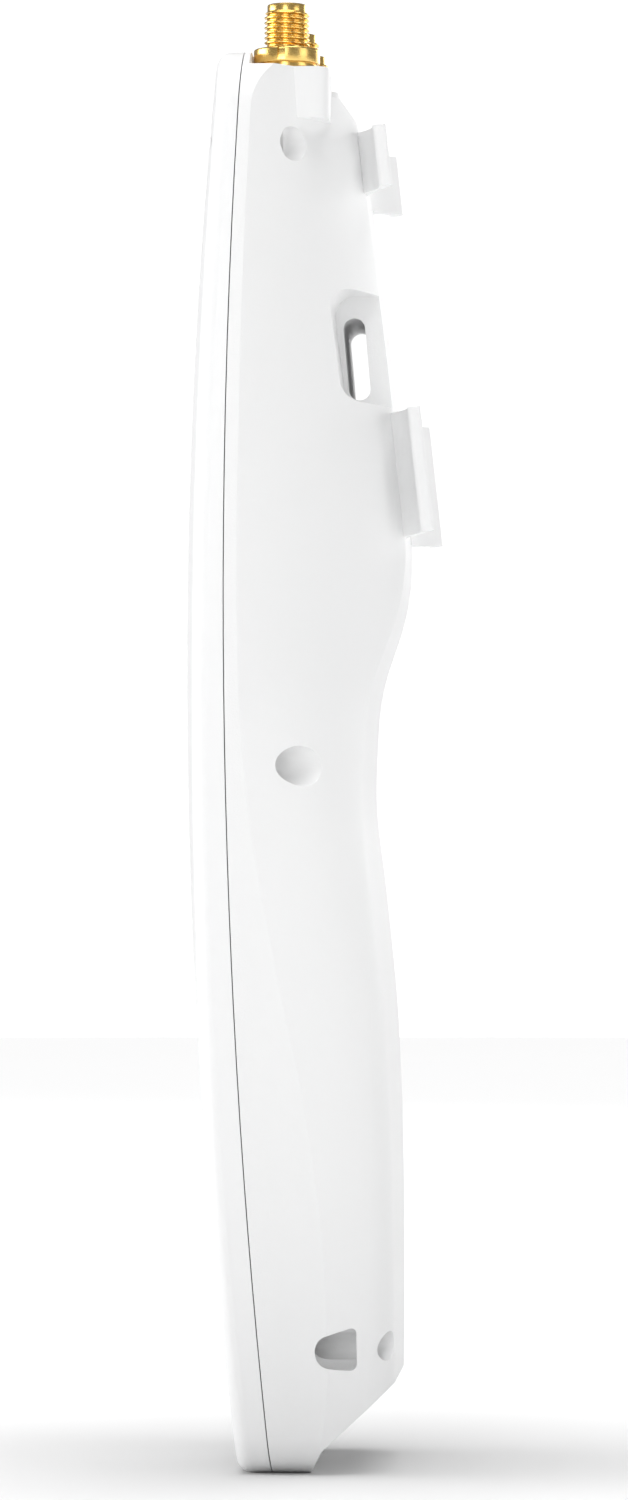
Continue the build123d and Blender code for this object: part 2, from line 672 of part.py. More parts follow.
def jack_washer(x, deck):
    top = deck - WALL - TIGHT_GAP
    ring = cylinder_z(x, JACK_Y, WASHER_RADIUS, top - WASHER_HEIGHT, top)
    return ring - cylinder_z(x, JACK_Y, NECK_RADIUS + RUN_CLEARANCE, top - OVERCUT, top + OVERCUT)


def jack_nut(x, deck):
    top = deck - WALL - WASHER_HEIGHT - 2 * TIGHT_GAP
    low = top - NUT_HEIGHT
    hexagon = RegularPolygon(NUT_FLATS / 2, 6, major_radius=False, rotation=0)
    nut = Pos(x, JACK_Y, low) * extrude(hexagon, NUT_HEIGHT)
    return nut - cylinder_z(x, JACK_Y, NECK_RADIUS + SNUG_GAP, low - OVERCUT, top + OVERCUT)


def jack_seal(x, deck):
    """Flat ring between the flange and the deck."""
    centre = deck + FLANGE_LIFT / 2
    half = (FLANGE_LIFT - SNUG_GAP) / 2
    ring = cylinder_z(x, JACK_Y, ORING_CORE, centre - half, centre + half)
    inner = ORING_CORE - 2 * ORING_WIRE
    return ring - cylinder_z(x, JACK_Y, inner, deck - OVERCUT, deck + OVERCUT)


def reflector_plate():
    """Aluminium sheet with its upright edges folded forward."""
    front = REFLECTOR_BACK_Y - REFLECTOR_THICKNESS
    wide, narrow = REFLECTOR_HALF_WIDTH, REFLECTOR_FOOT_HALF_WIDTH
    right = [(narrow, REFLECTOR_BOTTOM), (wide, REFLECTOR_TAPER_TOP), (wide, REFLECTOR_TOP)]
    left = [(-x, z) for x, z in reversed(right)]
    sheet = make_face(Plane.XZ * Polyline(*right, *left, close=True))
    plate = Pos(0, REFLECTOR_BACK_Y, 0) * extrude(sheet, REFLECTOR_THICKNESS)
    for side in (-1, 1):
        edge = side * (wide - REFLECTOR_THICKNESS / 2)
        half = REFLECTOR_THICKNESS / 2
        plate += box_between(
            (edge - half, front - REFLECTOR_LIP, REFLECTOR_TAPER_TOP + REFLECTOR_LIP_ENDS[0]),
            (edge + half, front, REFLECTOR_TOP - REFLECTOR_LIP_ENDS[1]),
        )
    for x, z in pillar_places():
        plate -= cylinder_y(x, z, BOARD_SCREW_RADIUS + RUN_CLEARANCE, -FAR, FAR)
    return plate


def board_levels():
    """Back and front Y of the feed board."""
    back = REFLECTOR_BACK_Y - REFLECTOR_THICKNESS - BOARD_GAP
    return back, back - BOARD_THICKNESS


def rivet_places():
    return [(x, z) for z in ELEMENT_HEIGHTS for x in ELEMENT_X]


def feed_board():
    back, front = board_levels()
    low = (-BOARD_HALF_WIDTH, front, BOARD_BOTTOM)
    board = box_between(low, (BOARD_HALF_WIDTH, back, BOARD_TOP))
    board = fillet(board.edges().filter_by(Axis.Y), BOARD_CORNER)
    for x, z in pillar_places():
        board -= cylinder_y(x, z, BOARD_SCREW_RADIUS + RUN_CLEARANCE, -FAR, FAR)
    for x, z in rivet_places():
        board -= cylinder_y(x, z, RIVET_RADIUS + RUN_CLEARANCE, -FAR, FAR)
    return board


def feed_tracks():
    """Copper on the front of the board: a spine, branches to the elements and coax landings."""
    front = board_levels()[1]
    layer = front - COPPER_THICKNESS
    half = TRACK_WIDTH / 2
    top = COAX_END_HEIGHT + LANDING_REACH
    bus = COAX_END_HEIGHT - BUS_DROP
    tracks = box_between((-half, layer, ELEMENT_HEIGHTS[0] - half), (half, front, top))
    for z in ELEMENT_HEIGHTS:
        reach = ELEMENT_X[1] + half
        tracks += box_between((-reach, layer, z - half), (reach, front, z + half))
    outer_x = coax_end_x(JACK_X[2])
    tracks += box_between((-outer_x - half, layer, bus - half), (outer_x + half, front, bus + half))
    for x in (-outer_x, outer_x):
        tracks += box_between((x - half, layer, bus), (x + half, front, top))
    for x, z in rivet_places():
        tracks += cylinder_y(x, z, PAD_RADIUS, layer, front)
        tracks -= cylinder_y(x, z, RIVET_RADIUS + RUN_CLEARANCE, -FAR, FAR)
    return tracks


def stack_levels():
    """Front Y of the copper, then back and front Y of the low plate, driven and director discs."""
    copper = board_levels()[1] - COPPER_THICKNESS
    low = copper - LOW_PLATE_GAP
    driven = low - LOW_PLATE_THICKNESS - DISC_GAP
    director = driven - DISC_THICKNESS - DISC_GAP
    return {
        "copper": copper,
        "low": (low, low - LOW_PLATE_THICKNESS),
        "driven": (driven, driven - DISC_THICKNESS),
        "director": (director, director - DISC_THICKNESS),
    }


def low_plate(z):
    back, front = stack_levels()["low"]
    half = LOW_PLATE_SIDE / 2
    plate = box_between((-half, front, z - half), (half, back, z + half))
    plate = chamfer(plate.edges().filter_by(Axis.Y), LOW_PLATE_CHAMFER)
    for x in ELEMENT_X:
        plate -= cylinder_y(x, z, RIVET_RADIUS + RUN_CLEARANCE, -FAR, FAR)
    return plate


def disc(x, z, radius, level):
    back, front = stack_levels()[level]
    return cylinder_y(x, z, radius, front, back) - cylinder_y(
        x, z, RIVET_RADIUS + RUN_CLEARANCE, -FAR, FAR
    )


def front_sleeve(x, z):
    """Nylon sleeve that holds a director clear of the driven disc behind it."""
    levels = stack_levels()
    tube = cylinder_y(x, z, SLEEVE_RADIUS, levels["director"][0], levels["driven"][1])
    return tube - cylinder_y(x, z, RIVET_RADIUS + SLEEVE_CLEARANCE, -FAR, FAR)


def rivet(x, z):
    """Nylon rivet from behind the board to a head in front of the director."""
    back = board_levels()[0]
    front = stack_levels()["director"][1]
    shank = cylinder_y(x, z, RIVET_RADIUS, front - RUN_CLEARANCE, back + RUN_CLEARANCE)
    tail = cylinder_y(x, z, RIVET_HEAD_RADIUS, back, back + RIVET_HEAD_HEIGHT)
    head = cylinder_y(x, z, RIVET_HEAD_RADIUS, front - RIVET_HEAD_HEIGHT, front)
    return shank + tail + head


def board_spacer(x, z):
    reflector_front = REFLECTOR_BACK_Y - REFLECTOR_THICKNESS
    spacer = cylinder_y(x, z, SPACER_RADIUS, board_levels()[0], reflector_front)
    return spacer - cylinder_y(x, z, BOARD_SCREW_RADIUS + RUN_CLEARANCE, -FAR, FAR)


def board_screw(x, z):
    front = board_levels()[1]
    head = cylinder_y(x, z, BOARD_SCREW_HEAD_RADIUS, front - BOARD_SCREW_HEAD_HEIGHT, front)
    end = REFLECTOR_BACK_Y + BOARD_SCREW_GRIP - BOARD_SCREW_SPARE
    return head + cylinder_y(x, z, BOARD_SCREW_RADIUS, front - RUN_CLEARANCE, end)


def coax_end_x(x):
    """X where the pigtail of a jack lands on the board."""
    return x * COAX_LANE_SHARE


def coax_lane_y():
    """Y of the axis of a pigtail where it lies on the copper."""
    return stack_levels()["copper"] - FERRULE_RADIUS - TIGHT_GAP


def coax(x, deck):
    """Pigtail from inside the neck of a jack, over the top of the reflector, to its landing."""
    lane = coax_lane_y()
    end_x = coax_end_x(x)
    neck_exit = (x, JACK_Y, deck + FLANGE_LIFT - NECK_LENGTH - COAX_DROP)
    lane_start = (end_x, lane, COAX_END_HEIGHT + FERRULE_LENGTH + COAX_STRAIGHT)
    line = Line((x, JACK_Y, deck - COAX_START_DEPTH), neck_exit)
    bend = Spline(neck_exit, lane_start, tangents=((0, 0, -1), (0, 0, -1)))
    run = Line(lane_start, (end_x, lane, COAX_END_HEIGHT - COAX_TAIL))
    parts = []
    for path in (line, bend, run):
        section = Plane(path @ 0, z_dir=path % 0) * Circle(COAX_RADIUS)
        parts.append(sweep(section, path))
    return parts[0] + parts[1] + parts[2]


def ferrule(x):
    """Solder ferrule that holds the end of a pigtail to the board."""
    end_x = coax_end_x(x)
    lane = coax_lane_y()
    low = COAX_END_HEIGHT
    tube = cylinder_z(end_x, lane, FERRULE_RADIUS, low, low + FERRULE_LENGTH)
    top = low + FERRULE_LENGTH
    return tube - cylinder_z(end_x, lane, COAX_RADIUS + SNUG_GAP, low - OVERCUT, top + OVERCUT)


def write(name, *solids):
    shape = solids[0] if len(solids) == 1 else Compound(children=list(solids))
    export_step(shape, f"parts/{name}.step")


write("front_radome", front_radome())
write("rear_housing", rear_housing())
write("perimeter_seal", seal_ring())
write("case_screws", *[case_screw(*place) for place in screw_places()])
for side, jack_x, jack_deck in jack_places():
    write(f"{side}_jack_body", jack_body(jack_x, jack_deck))
    write(f"{side}_jack_dielectric", jack_dielectric(jack_x, jack_deck))
    write(f"{side}_jack_pin", jack_pin(jack_x, jack_deck))
    write(f"{side}_jack_washer", jack_washer(jack_x, jack_deck))
    write(f"{side}_jack_nut", jack_nut(jack_x, jack_deck))
    write(f"{side}_jack_seal", jack_seal(jack_x, jack_deck))
    write(f"{side}_coax", coax(jack_x, jack_deck))
write("coax_ferrules", *[ferrule(x) for x in JACK_X])
write("reflector_plate", reflector_plate())
write("board_spacers", *[board_spacer(*place) for place in pillar_places()])
write("feed_board", feed_board())
write("feed_tracks", feed_tracks())
write("board_screws", *[board_screw(*place) for place in pillar_places()])
for side, plate_z in zip(("lower", "upper"), LOW_PLATE_HEIGHTS):
    write(f"{side}_low_band_plate", low_plate(plate_z))
write("driven_discs", *[disc(x, z, DRIVEN_RADIUS, "driven") for x, z in rivet_places()])
write("director_discs", *[disc(x, z, DIRECTOR_RADIUS, "director") for x, z in rivet_places()])
write("front_sleeves", *[front_sleeve(x, z) for x, z in rivet_places()])
write("element_rivets", *[rivet(x, z) for x, z in rivet_places()])
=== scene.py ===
# %% [markdown]
# # A directional antenna for an access point
# The object is a sealed white case about 200 mm tall. A thin bowed radome closes its front, a deep
# moulded housing closes its back, three gold coaxial jacks stand on top, and flared rails on the
# back carry an access point. The CAD model already holds every part at its real size, so this
# script only does the looks: it loads that model, gives each part its finish, rebuilds the few
# pieces whose detail the CAD simplifies, and sets up the studio.

import json
import math

import bmesh
import bpy
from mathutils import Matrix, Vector


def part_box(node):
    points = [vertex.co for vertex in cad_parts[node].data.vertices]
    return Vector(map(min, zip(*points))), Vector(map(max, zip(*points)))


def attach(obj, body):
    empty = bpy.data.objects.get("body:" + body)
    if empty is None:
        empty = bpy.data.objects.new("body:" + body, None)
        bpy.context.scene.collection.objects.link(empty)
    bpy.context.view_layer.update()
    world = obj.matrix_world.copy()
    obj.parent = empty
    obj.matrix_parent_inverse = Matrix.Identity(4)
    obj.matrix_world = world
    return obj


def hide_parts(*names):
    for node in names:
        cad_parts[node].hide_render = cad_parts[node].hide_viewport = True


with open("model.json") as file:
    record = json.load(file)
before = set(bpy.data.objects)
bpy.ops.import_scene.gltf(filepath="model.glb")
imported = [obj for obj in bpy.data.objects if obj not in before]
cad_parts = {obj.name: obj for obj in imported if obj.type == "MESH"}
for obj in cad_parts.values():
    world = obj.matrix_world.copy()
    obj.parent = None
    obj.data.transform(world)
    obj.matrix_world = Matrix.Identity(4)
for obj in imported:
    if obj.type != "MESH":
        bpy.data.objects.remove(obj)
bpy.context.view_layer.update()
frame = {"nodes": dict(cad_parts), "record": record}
nodes = frame["nodes"]

# %% [markdown]
# ## Writing finishes as expressions
# A finish is a small program of nodes. Placing nodes one by one hides the idea behind it, so two
# short classes let the finishes read like formulas. `Signal` wraps one output socket, and its
# operators add Math nodes. `Finish` makes the material, and its `node` method adds any other node.

# %% Signal: one output socket, with arithmetic
class Signal:
    """An output socket of a node. Arithmetic on it adds Math nodes."""

    def __init__(self, finish, socket):
        self.finish = finish
        self.socket = socket

    def math(self, operation, first, second):
        return self.finish.node("ShaderNodeMath", {"operation": operation}, {0: first, 1: second})

    def __add__(self, other):
        return self.math("ADD", self, other)

    def __radd__(self, other):
        return self.math("ADD", other, self)

    def __mul__(self, other):
        return self.math("MULTIPLY", self, other)

    def __rmul__(self, other):
        return self.math("MULTIPLY", other, self)


# %% Finish: one material, built from signals
class Finish:
    """A material under construction."""

    def __init__(self, name):
        self.material = bpy.data.materials.new(name)
        self.material.use_nodes = True
        self.tree = self.material.node_tree
        self.tree.nodes.clear()

    def node(self, kind, settings=(), sockets=(), output=0):
        """Adds a node: its settings first, then the values or links of its sockets."""
        made = self.tree.nodes.new(kind)
        for key, value in dict(settings).items():
            setattr(made, key, value)
        for key, value in dict(sockets).items():
            if isinstance(value, Signal):
                self.tree.links.new(value.socket, made.inputs[key])
            else:
                made.inputs[key].default_value = value
        return Signal(self, made.outputs[output]) if made.outputs else made

    def place(self, stretch=(1, 1, 1)):
        """Object coordinates in metres, stretched along each axis."""
        where = self.node("ShaderNodeTexCoord", output="Object")
        scaled = {"operation": "MULTIPLY"}
        return self.node("ShaderNodeVectorMath", scaled, {0: where, 1: stretch})

    def noise(self, scale, detail=2.0, stretch=(1, 1, 1)):
        """Noise from 0 to 1 with features about 1 / scale metres across."""
        sockets = {"Vector": self.place(stretch), "Scale": scale, "Detail": detail}
        return self.node("ShaderNodeTexNoise", sockets=sockets)

    def blend(self, factor, first, second):
        """Mixes two colours."""
        sockets = {0: factor, 6: (*first, 1), 7: (*second, 1)}
        return self.node("ShaderNodeMix", {"data_type": "RGBA"}, sockets, output=2)

    def bump(self, height, depth):
        """Normal of a surface whose relief is depth metres where height goes from 0 to 1."""
        return self.node("ShaderNodeBump", sockets={"Height": height, "Distance": depth})

    def surface(self, sockets):
        shader = self.node("ShaderNodeBsdfPrincipled", sockets=sockets)
        self.node("ShaderNodeOutputMaterial", sockets={"Surface": shader})
        return self.material


# %% [markdown]
# ## White weatherproof plastic
# Both shells are moulded in white ASA. The radome comes from a smooth, satin tool. The housing
# comes from a spark-eroded one, so it carries a fine grain of about a quarter of a millimetre and
# looks a little duller. Neither is perfectly even: the gloss drifts over a few centimetres, where
# the melt cooled faster, and the white is a touch warmer where it is thick.

# %% Satin white for the radome
def satin_white():
    finish = Finish("radome_satin_white")
    drift = finish.noise(18, 3)
    grain = finish.noise(2600, 2)
    orange_peel = finish.noise(260, 2)
    return finish.surface({
        "Base Color": finish.blend(drift, (0.855, 0.858, 0.862), (0.885, 0.886, 0.884)),
        "Roughness": 0.30 + 0.10 * drift + 0.06 * grain,
        "Normal": finish.bump(grain * 0.35 + orange_peel * 0.65, 0.000012),
        "IOR": 1.48,
    })


radome_white = satin_white()
print("made", radome_white.name)

# %% Grained white for the rear housing
def grained_white():
    finish = Finish("housing_grained_white")
    drift = finish.noise(14, 3)
    grain = finish.noise(3800, 3)
    pits = finish.node(
        "ShaderNodeTexVoronoi", {"feature": "F1"}, {"Vector": finish.place(), "Scale": 3200}
    )
    return finish.surface({
        "Base Color": finish.blend(drift, (0.835, 0.838, 0.842), (0.870, 0.871, 0.868)),
        "Roughness": 0.44 + 0.10 * drift + 0.08 * grain,
        "Normal": finish.bump(grain * 0.6 + pits * 0.4, 0.000022),
        "IOR": 1.48,
    })


housing_white = grained_white()
print("made", housing_white.name)

# %% [markdown]
# ## Gold plate
# The jacks are turned brass under a thin layer of gold. Turning leaves rings round the axis, finer
# than a tenth of a millimetre, and plating only softens them. So the bump is noise that is
# stretched far across X and Y and hardly along Z. Handling wears the plate: its roughness and its
# colour both drift in small patches.

# %% Gold for the jacks
def turned_gold(name, light, dark, base_roughness):
    finish = Finish(name)
    rings = finish.noise(900, 2, (0.05, 0.05, 12))
    patches = finish.noise(700, 3)
    return finish.surface({
        "Base Color": finish.blend(patches, dark, light),
        "Metallic": 1.0,
        "Roughness": base_roughness + 0.10 * patches + 0.08 * rings,
        "Normal": finish.bump(rings, 0.000006),
    })


jack_gold = turned_gold("jack_gold", (1.0, 0.72, 0.26), (0.88, 0.55, 0.14), 0.16)
contact_gold = turned_gold("contact_gold", (1.0, 0.80, 0.42), (0.95, 0.70, 0.30), 0.16)
nut_brass = turned_gold("nut_brass", (0.92, 0.76, 0.45), (0.82, 0.62, 0.30), 0.24)
print("made", jack_gold.name, contact_gold.name, nut_brass.name)

# %% [markdown]
# ## The other metals
# Stainless screws are cold-headed, then tumbled: grey, with soft scuffs. The reflector is rolled
# sheet, whose grain runs along the roll, here along Z. The radiating plates are tinned brass, with
# the milky bloom of hot tin. Copper on the board darkens a little unevenly.

# %% Screws, reflector, radiating plates and copper
def scuffed_metal(name, light, dark, roughness, scale, stretch, relief):
    finish = Finish(name)
    grain = finish.noise(scale, 3, stretch)
    bloom = finish.noise(120, 3)
    return finish.surface({
        "Base Color": finish.blend(bloom, dark, light),
        "Metallic": 1.0,
        "Roughness": roughness + 0.14 * grain + 0.08 * bloom,
        "Normal": finish.bump(grain, relief),
    })


screw_steel = scuffed_metal(
    "screw_steel", (0.72, 0.71, 0.69), (0.58, 0.57, 0.56), 0.22, 2400, (1, 1, 1), 0.000006
)
rolled_aluminium = scuffed_metal(
    "rolled_aluminium", (0.86, 0.87, 0.88), (0.78, 0.79, 0.80), 0.28, 2600, (1, 1, 0.03), 0.000005
)
tinned_plate = scuffed_metal(
    "tinned_plate", (0.82, 0.80, 0.74), (0.70, 0.67, 0.58), 0.24, 900, (1, 1, 1), 0.000005
)
etched_copper = scuffed_metal(
    "etched_copper", (0.90, 0.52, 0.33), (0.72, 0.36, 0.22), 0.26, 1500, (1, 1, 1), 0.000004
)
ferrule_tin = scuffed_metal(
    "ferrule_tin", (0.80, 0.80, 0.79), (0.66, 0.66, 0.66), 0.26, 1800, (1, 1, 1), 0.000008
)
print("made", screw_steel.name, rolled_aluminium.name, tinned_plate.name, etched_copper.name)

# %% [markdown]
# ## Rubber, nylon, PTFE, laminate and jacket
# These are the insulators. Each has its own tell: rubber is near black with a dusty bloom, nylon
# is milky and warm, PTFE is a dull waxy white, the board shows the weave of its glass through the
# green mask, and an extruded cable jacket has faint lines along its run.

# %% Insulators
def moulded(name, light, dark, roughness, scale, relief):
    finish = Finish(name)
    cloud = finish.noise(160, 3)
    grain = finish.noise(scale, 2)
    return finish.surface({
        "Base Color": finish.blend(cloud, dark, light),
        "Roughness": roughness + 0.10 * cloud + 0.08 * grain,
        "Normal": finish.bump(grain, relief),
    })


seal_rubber = moulded(
    "seal_rubber", (0.060, 0.060, 0.064), (0.030, 0.030, 0.032), 0.62, 3000, 0.00002
)
flange_rubber = moulded(
    "flange_rubber", (0.05, 0.05, 0.05), (0.025, 0.025, 0.025), 0.55, 3000, 0.00001
)
natural_nylon = moulded(
    "natural_nylon", (0.86, 0.85, 0.79), (0.78, 0.76, 0.68), 0.40, 2200, 0.000012
)
turned_ptfe = moulded(
    "turned_ptfe", (0.90, 0.89, 0.86), (0.83, 0.82, 0.78), 0.48, 2800, 0.000010
)
cable_jacket = moulded(
    "cable_jacket", (0.085, 0.085, 0.09), (0.05, 0.05, 0.055), 0.38, 2600, 0.000012
)
print("made", seal_rubber.name, natural_nylon.name, turned_ptfe.name, cable_jacket.name)

# %% Green board laminate
def laminate():
    finish = Finish("board_laminate")
    threads = []
    for direction in ("X", "Z"):
        settings = {"bands_direction": direction}
        sockets = {"Vector": finish.place(), "Scale": 420}
        threads.append(finish.node("ShaderNodeTexWave", settings, sockets))
    weave = threads[0] * threads[1]
    return finish.surface({
        "Base Color": finish.blend(weave, (0.012, 0.085, 0.045), (0.020, 0.125, 0.065)),
        "Roughness": 0.28 + 0.12 * weave,
        "Normal": finish.bump(weave, 0.000008),
    })


board_green = laminate()
print("made", board_green.name)

# %% Give every CAD part its finish
def dress(name, material):
    """Puts one material on a CAD part."""
    part = nodes[name]
    part.data.materials.clear()
    part.data.materials.append(material)


finishes = {
    "front_radome": radome_white,
    "rear_housing": housing_white,
    "perimeter_seal": seal_rubber,
    "case_screws": screw_steel,
    "board_screws": screw_steel,
    "coax_ferrules": ferrule_tin,
    "reflector_plate": rolled_aluminium,
    "board_spacers": natural_nylon,
    "front_sleeves": natural_nylon,
    "element_rivets": natural_nylon,
    "feed_board": board_green,
    "feed_tracks": etched_copper,
    "lower_low_band_plate": tinned_plate,
    "upper_low_band_plate": tinned_plate,
    "driven_discs": tinned_plate,
    "director_discs": tinned_plate,
}
jack_finishes = {
    "jack_body": jack_gold,
    "jack_dielectric": turned_ptfe,
    "jack_pin": contact_gold,
    "jack_washer": nut_brass,
    "jack_nut": nut_brass,
    "jack_seal": flange_rubber,
    "coax": cable_jacket,
}
sides = ("left", "middle", "right")
for side in sides:
    for piece, material in jack_finishes.items():
        finishes[f"{side}_{piece}"] = material
for name, material in finishes.items():
    dress(name, material)
print("dressed", len(finishes), "of", len(nodes), "parts")

# %% [markdown]
# ## The jacks, turned and threaded
# The CAD stands in for each thread with plain rings. A real one is a single ridge that winds up
# the barrel, and light shows it: every highlight slants a little. Sweeping a tooth along a helix
# would leave seams where it runs out, so the whole jack is made as one sheet instead, wrapped
# round the axis. Each point of the sheet has a height and an angle, and one function gives its
# radius there. On the thread that radius depends on height and angle together, which makes the
# ridge wind. The ridge fades in and out at its two ends, as a cut thread does. The sign of the
# angle in that function winds it left-handed, which is a fault: a real jack is right-handed.

# %% Sizes of a jack, in metres
MM = 0.001
mounts = {mount["name"]: mount for mount in frame["record"]["mounts"]}
THREAD_RADIUS = mounts["right_jack_thread"]["dims"]["r_mm"] * MM
PITCH = 25.4 / 36 * MM
THREAD_DEPTH = 0.42 * MM
COLLAR_RADIUS = 2.75 * MM
COLLAR_LENGTH = 1.0 * MM
BARREL_LENGTH = 6.4 * MM
FLANGE_HEIGHT = 2.1 * MM
LIP_HEIGHT = 0.65 * MM
NECK_LENGTH = 8.0 * MM
BORE_RADIUS = 2.3 * MM
SOCKET_DEPTH = 4.6 * MM
KEY_WIDTH = 1.1 * MM
KEY_DEPTH = 0.9 * MM
KEY_HEIGHT = 1.3 * MM
KEY_OFFSET = 0.55 * MM
BEVEL = 0.22 * MM
SOFT_BEVEL = 0.12 * MM
ROUND_OVER = 0.25 * MM
ROUND_STEPS = 5
THREAD_STEPS = 112
THREAD_RUN_OUT = 0.3 * MM
GROOVE_DEPTH = 0.22 * MM
GROOVE_HEIGHT = 0.16 * MM
LIP_SETBACK = 0.35 * MM
NECK_WALL = 1.4 * MM
NECK_SHARE = 0.65  # of the depth of the thread
AROUND_COUNT = 96
KEY_NUDGE = 0.004  # radians to each side of an edge of the key
TIP_SHARE = 0.86  # how far from a crest the flank reaches the root, as a share of half a pitch
FLANK_SHARE = 0.66
RUN_IN_TURNS = 0.5
RUN_OUT_TURNS = 0.35
print("thread radius", THREAD_RADIUS, "pitch", round(PITCH, 6))

# %% Height and radius down the outside of a jack
def jack_rows(flange_radius):
    """Rows of the sheet as depth below the mouth, radius and whether the thread acts on it."""
    flange_top = BARREL_LENGTH
    lip_top = flange_top + FLANGE_HEIGHT
    lip_low = lip_top + LIP_HEIGHT
    lip_radius = flange_radius - LIP_SETBACK
    neck_radius = THREAD_RADIUS - THREAD_DEPTH * NECK_SHARE
    root = THREAD_RADIUS - THREAD_DEPTH
    thread_end = flange_top - THREAD_RUN_OUT
    mouth = [
        (SOCKET_DEPTH, BORE_RADIUS),
        (BEVEL, BORE_RADIUS),
        (0.0, BORE_RADIUS + BEVEL),
        (0.0, COLLAR_RADIUS - BEVEL),
        (BEVEL * 0.3, COLLAR_RADIUS - BEVEL * 0.3),
        (BEVEL, COLLAR_RADIUS),
        (COLLAR_LENGTH, COLLAR_RADIUS),
    ]
    thread = []
    for i in range(THREAD_STEPS + 1):
        depth = COLLAR_LENGTH + (thread_end - COLLAR_LENGTH) * i / THREAD_STEPS
        thread.append((depth, root))
    flange = [
        (flange_top, root + 0.1 * MM),
        (flange_top, flange_radius - ROUND_OVER),
    ]
    for i in range(1, ROUND_STEPS + 1):
        angle = math.radians(90 * i / ROUND_STEPS)
        flange.append((
            flange_top + ROUND_OVER * (1 - math.cos(angle)),
            flange_radius - ROUND_OVER * (1 - math.sin(angle)),
        ))
    flange += [
        (lip_top - 0.25 * MM, flange_radius),
        (lip_top - 0.08 * MM, flange_radius - 0.06 * MM),
        (lip_top, flange_radius - 0.2 * MM),
    ]
    lip = [
        (lip_top, lip_radius - GROOVE_DEPTH),
        (lip_top + GROOVE_HEIGHT, lip_radius - GROOVE_DEPTH),
        (lip_top + GROOVE_DEPTH, lip_radius),
        (lip_low - SOFT_BEVEL, lip_radius),
        (lip_low, lip_radius - SOFT_BEVEL),
    ]
    neck = [
        (lip_low, neck_radius),
        (lip_low + NECK_LENGTH, neck_radius),
        (lip_low + NECK_LENGTH, neck_radius - NECK_WALL),
        (SOCKET_DEPTH, neck_radius - NECK_WALL),
    ]
    stretches = [(mouth, False), (thread, True), (flange + lip + neck, False)]
    return [(*row, threaded) for rows, threaded in stretches for row in rows]


# %% Radius where the thread acts
def clamped(value):
    """The value, kept between 0 and 1."""
    return min(max(value, 0.0), 1.0)


def tooth_height(depth, angle):
    """How far the ridge stands out, from 0 at the root to 1 on the crest."""
    turns = (depth - COLLAR_LENGTH) / PITCH - angle / (2 * math.pi)
    phase = turns % 1.0
    flank = abs(phase - 0.5) * 2
    tooth = clamped((TIP_SHARE - flank) / FLANK_SHARE)
    thread_end = BARREL_LENGTH - THREAD_RUN_OUT
    run_in = clamped((depth - COLLAR_LENGTH) / (RUN_IN_TURNS * PITCH))
    run_out = clamped((thread_end - depth) / (RUN_OUT_TURNS * PITCH))
    return tooth * run_in * run_out


# %% Where the key is cut
def key_edges(flange_radius):
    """Angle of the key and the angles of its two edges."""
    middle = math.atan2(-KEY_OFFSET, flange_radius)
    half = math.asin(KEY_WIDTH / 2 / flange_radius)
    return middle, [middle - half, middle + half]


def ring_angles(edges):
    """Even steps round the axis, with two more at each edge of the key."""
    even = [2 * math.pi * i / AROUND_COUNT - math.pi for i in range(AROUND_COUNT)]
    return sorted(even + [edge + nudge for edge in edges for nudge in (-KEY_NUDGE, KEY_NUDGE)])


# %% Build one jack
def jack_radius(row, angle, flange_radius):
    """Radius of the jack at one row of the sheet and one angle."""
    depth, radius, threaded = row
    if threaded:
        radius += THREAD_DEPTH * tooth_height(depth, angle)
    middle, edges = key_edges(flange_radius)
    on_flange = BARREL_LENGTH - 1e-7 <= depth <= BARREL_LENGTH + KEY_HEIGHT + 1e-7
    if on_flange and edges[0] < angle < edges[1]:
        radius = min(radius, (flange_radius - KEY_DEPTH) / math.cos(angle - middle))
    return radius


def turned_jack(side):
    """Replaces one CAD jack body with a threaded one of the same size in the same place."""
    low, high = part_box(f"{side}_jack_body")
    centre_x, centre_y, mouth = (low[0] + high[0]) / 2, (low[1] + high[1]) / 2, high[2]
    flange_radius = (high[1] - low[1]) / 2
    angles = ring_angles(key_edges(flange_radius)[1])
    form = bmesh.new()
    grid = []
    for row in jack_rows(flange_radius):
        ring = []
        for angle in angles:
            r = jack_radius(row, angle, flange_radius)
            spot = (centre_x + r * math.cos(angle), centre_y + r * math.sin(angle), mouth - row[0])
            ring.append(form.verts.new(spot))
        grid.append(ring)
    grid.append(grid[0])
    for upper, lower in zip(grid, grid[1:]):
        for i in range(len(angles)):
            j = (i + 1) % len(angles)
            form.faces.new((upper[i], lower[i], lower[j], upper[j]))
    bmesh.ops.recalc_face_normals(form, faces=form.faces)
    for face in form.faces:
        face.smooth = True
    mesh = bpy.data.meshes.new(f"{side}_jack_turned")
    form.to_mesh(mesh)
    form.free()
    mesh.set_sharp_from_angle(angle=math.radians(40))
    mesh.materials.append(jack_gold)
    jack = bpy.data.objects.new(f"{side}_jack_turned", mesh)
    bpy.context.scene.collection.objects.link(jack)
    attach(jack, "root")
    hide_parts(f"{side}_jack_body")
    return jack


for side in sides:
    jack = turned_jack(side)
    print(jack.name, "faces", len(jack.data.polygons))
